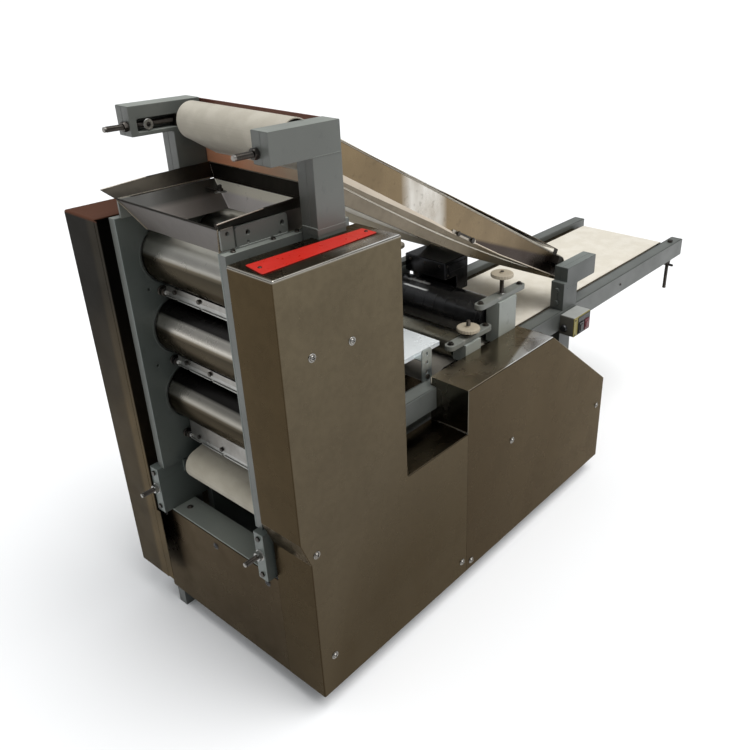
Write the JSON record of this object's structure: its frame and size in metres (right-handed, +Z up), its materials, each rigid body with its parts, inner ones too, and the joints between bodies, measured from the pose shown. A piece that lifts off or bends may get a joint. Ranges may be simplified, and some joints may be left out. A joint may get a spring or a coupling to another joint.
{
  "type": "vertical dough sheeter",
  "caption": "Floor-standing dough sheeter: hopper over stacked roller pairs, press and cutting rollers on an outfeed belt, and a sloping belt that returns the trimmings.",
  "frame": {"origin": "centre of the bounding box, on the floor under the machine", "axes": "+X towards the outfeed end, +Z up, the operator's side with the switch box at -Y"},
  "size_m": [2.063, 0.668, 1.265],
  "materials": {
    "stainless": "brushed stainless sheet",
    "roller_steel": "ground and polished",
    "grey_paint": "satin grey enamel",
    "dark_paint": "satin dark grey enamel",
    "black_coat": "gloss black coating",
    "canvas": "plain woven cotton",
    "beige_plastic": "moulded, matt",
    "iron": "oiled",
    "bolt": "blackened",
    "yellow_plastic": "moulded",
    "black_plastic": "moulded",
    "red_plastic": "moulded"
  },
  "bodies": {
    "root": {"near_head_plate": "grey_paint", "near_cheek": "grey_paint", "near_head_cover": "stainless", "near_rear_cover": "stainless", "near_top_arm": "grey_paint", "near_outfeed_arm": "grey_paint", "near_outfeed_rail": "grey_paint", "near_press_block": "grey_paint", "near_cutter_block": "grey_paint", "far_head_plate": "grey_paint", "far_cheek": "grey_paint", "far_head_cover": "stainless", "far_rear_cover": "stainless", "far_top_arm": "grey_paint", "far_outfeed_arm": "grey_paint", "far_outfeed_rail": "grey_paint", "far_press_block": "grey_paint", "far_cutter_block": "grey_paint", "lower_scraper": "stainless", "middle_scraper": "stainless", "upper_scraper": "stainless", "base_frame": "grey_paint", "front_tray": "dark_paint", "front_panel": "stainless", "hopper": "stainless", "gear_motor": "iron", "drive_chain": "iron", "infeed_belt": "canvas", "outfeed_belt": "canvas", "outfeed_bed": "stainless", "guide_plate": "stainless", "return_belt": "canvas", "return_tray": "stainless", "cutter_hood": "black_coat", "switch_box": "yellow_plastic"},
    "middle_front_roller": {"middle_front_roller": "roller_steel"},
    "upper_front_roller": {"upper_front_roller": "roller_steel"},
    "lower_front_roller": {"lower_front_roller": "roller_steel"},
    "middle_rear_roller": {"middle_rear_roller": "roller_steel"},
    "upper_rear_roller": {"upper_rear_roller": "roller_steel"},
    "lower_rear_roller": {"lower_rear_roller": "roller_steel"},
    "motor_wheel": {"motor_wheel": "iron"},
    "infeed_front_roller": {"infeed_front_roller": "roller_steel"},
    "infeed_rear_roller": {"infeed_rear_roller": "roller_steel"},
    "outfeed_front_roller": {"outfeed_front_roller": "roller_steel"},
    "outfeed_end_roller": {"outfeed_end_roller": "roller_steel"},
    "return_top_roller": {"return_top_roller": "roller_steel"},
    "return_low_roller": {"return_low_roller": "roller_steel"},
    "press_roller": {"press_roller": "roller_steel"},
    "cutter_roller": {"cutter_roller": "black_coat"},
    "near_press_knob": {"near_press_knob": "beige_plastic"},
    "near_cutter_knob": {"near_cutter_knob": "beige_plastic"},
    "near_top_screw": {"near_top_screw": "bolt"},
    "far_press_knob": {"far_press_knob": "beige_plastic"},
    "far_cutter_knob": {"far_cutter_knob": "beige_plastic"},
    "far_top_screw": {"far_top_screw": "bolt"},
    "clamp_handle": {"clamp_handle": "bolt"},
    "start_button": {"start_button": "black_plastic"},
    "stop_button": {"stop_button": "red_plastic"}
  },
  "joints": [
    {"name": "middle_front_roller_spin", "type": "hinge", "parent": "root", "child": "middle_front_roller", "pos_m": [-0.8645, 0, 0.796], "axis": [0, 1, 0], "continuous": true},
    {"name": "upper_front_roller_spin", "type": "hinge", "parent": "root", "child": "upper_front_roller", "pos_m": [-0.8645, 0, 0.964], "axis": [0, 1, 0], "continuous": true},
    {"name": "lower_front_roller_spin", "type": "hinge", "parent": "root", "child": "lower_front_roller", "pos_m": [-0.8645, 0, 0.628], "axis": [0, 1, 0], "continuous": true},
    {"name": "middle_rear_roller_spin", "type": "hinge", "parent": "root", "child": "middle_rear_roller", "pos_m": [-0.7265, 0, 0.796], "axis": [0, 1, 0], "continuous": true},
    {"name": "upper_rear_roller_spin", "type": "hinge", "parent": "root", "child": "upper_rear_roller", "pos_m": [-0.7265, 0, 0.964], "axis": [0, 1, 0], "continuous": true},
    {"name": "lower_rear_roller_spin", "type": "hinge", "parent": "root", "child": "lower_rear_roller", "pos_m": [-0.7265, 0, 0.628], "axis": [0, 1, 0], "continuous": true},
    {"name": "motor_wheel_spin", "type": "hinge", "parent": "root", "child": "motor_wheel", "pos_m": [-0.6465, 0, 0.22], "axis": [0, 1, 0], "continuous": true},
    {"name": "infeed_front_roller_spin", "type": "hinge", "parent": "root", "child": "infeed_front_roller", "pos_m": [-0.8965, 0, 0.445], "axis": [0, 1, 0], "continuous": true},
    {"name": "infeed_rear_roller_spin", "type": "hinge", "parent": "root", "child": "infeed_rear_roller", "pos_m": [-0.5415, 0, 0.555], "axis": [0, 1, 0], "continuous": true},
    {"name": "outfeed_front_roller_spin", "type": "hinge", "parent": "root", "child": "outfeed_front_roller", "pos_m": [-0.3315, 0, 0.543], "axis": [0, 1, 0], "continuous": true},
    {"name": "outfeed_end_roller_spin", "type": "hinge", "parent": "root", "child": "outfeed_end_roller", "pos_m": [0.9785, 0, 0.55], "axis": [0, 1, 0], "continuous": true},
    {"name": "return_top_roller_spin", "type": "hinge", "parent": "root", "child": "return_top_roller", "pos_m": [-0.7665, 0, 1.226], "axis": [0, 1, 0], "continuous": true},
    {"name": "return_low_roller_spin", "type": "hinge", "parent": "root", "child": "return_low_roller", "pos_m": [0.2385, 0, 0.69], "axis": [0, 1, 0], "continuous": true},
    {"name": "press_roller_spin", "type": "hinge", "parent": "root", "child": "press_roller", "pos_m": [-0.2695, 0, 0.6093], "axis": [0, 1, 0], "continuous": true},
    {"name": "cutter_roller_spin", "type": "hinge", "parent": "root", "child": "cutter_roller", "pos_m": [-0.1215, 0, 0.6353], "axis": [0, 1, 0], "continuous": true},
    {"name": "near_press_knob_turn", "type": "hinge", "parent": "root", "child": "near_press_knob", "pos_m": [-0.2695, -0.194, 0.655], "axis": [0, 0, 1], "range_deg": [-360, 360]},
    {"name": "near_cutter_knob_turn", "type": "hinge", "parent": "root", "child": "near_cutter_knob", "pos_m": [-0.1215, -0.194, 0.655], "axis": [0, 0, 1], "range_deg": [-360, 360]},
    {"name": "near_top_screw_turn", "type": "hinge", "parent": "root", "child": "near_top_screw", "pos_m": [-0.8715, -0.2013, 1.226], "axis": [1, 0, 0], "range_deg": [-360, 360]},
    {"name": "far_press_knob_turn", "type": "hinge", "parent": "root", "child": "far_press_knob", "pos_m": [-0.2695, 0.194, 0.655], "axis": [0, 0, 1], "range_deg": [-360, 360]},
    {"name": "far_cutter_knob_turn", "type": "hinge", "parent": "root", "child": "far_cutter_knob", "pos_m": [-0.1215, 0.194, 0.655], "axis": [0, 0, 1], "range_deg": [-360, 360]},
    {"name": "far_top_screw_turn", "type": "hinge", "parent": "root", "child": "far_top_screw", "pos_m": [-0.8715, 0.2013, 1.226], "axis": [1, 0, 0], "range_deg": [-360, 360]},
    {"name": "clamp_handle_turn", "type": "hinge", "parent": "root", "child": "clamp_handle", "pos_m": [0.9665, -0.212, 0.5], "axis": [0, 0, 1], "range_deg": [-180, 180]},
    {"name": "start_button_press", "type": "slide", "parent": "root", "child": "start_button", "axis": [0, 1, 0], "range_m": [0, 0.004], "stiffness_N_per_m": 300},
    {"name": "stop_button_press", "type": "slide", "parent": "root", "child": "stop_button", "axis": [0, 1, 0], "range_m": [0, 0.004], "stiffness_N_per_m": 300}
  ],
  "couplings": [
    {"joint": "upper_front_roller_spin", "follows": "middle_front_roller_spin", "ratio": 1},
    {"joint": "lower_front_roller_spin", "follows": "middle_front_roller_spin", "ratio": 1},
    {"joint": "middle_rear_roller_spin", "follows": "middle_front_roller_spin", "ratio": -1},
    {"joint": "upper_rear_roller_spin", "follows": "middle_front_roller_spin", "ratio": -1},
    {"joint": "lower_rear_roller_spin", "follows": "middle_front_roller_spin", "ratio": -1},
    {"joint": "motor_wheel_spin", "follows": "middle_front_roller_spin", "ratio": 1},
    {"joint": "infeed_front_roller_spin", "follows": "middle_front_roller_spin", "ratio": 1.7895},
    {"joint": "infeed_rear_roller_spin", "follows": "middle_front_roller_spin", "ratio": 2.2667},
    {"joint": "outfeed_front_roller_spin", "follows": "middle_front_roller_spin", "ratio": 2.125},
    {"joint": "outfeed_end_roller_spin", "follows": "middle_front_roller_spin", "ratio": 2.72},
    {"joint": "return_top_roller_spin", "follows": "middle_front_roller_spin", "ratio": -1.7436},
    {"joint": "return_low_roller_spin", "follows": "middle_front_roller_spin", "ratio": -2.2667},
    {"joint": "press_roller_spin", "follows": "middle_front_roller_spin", "ratio": -2},
    {"joint": "cutter_roller_spin", "follows": "middle_front_roller_spin", "ratio": -1.1333}
  ]
}
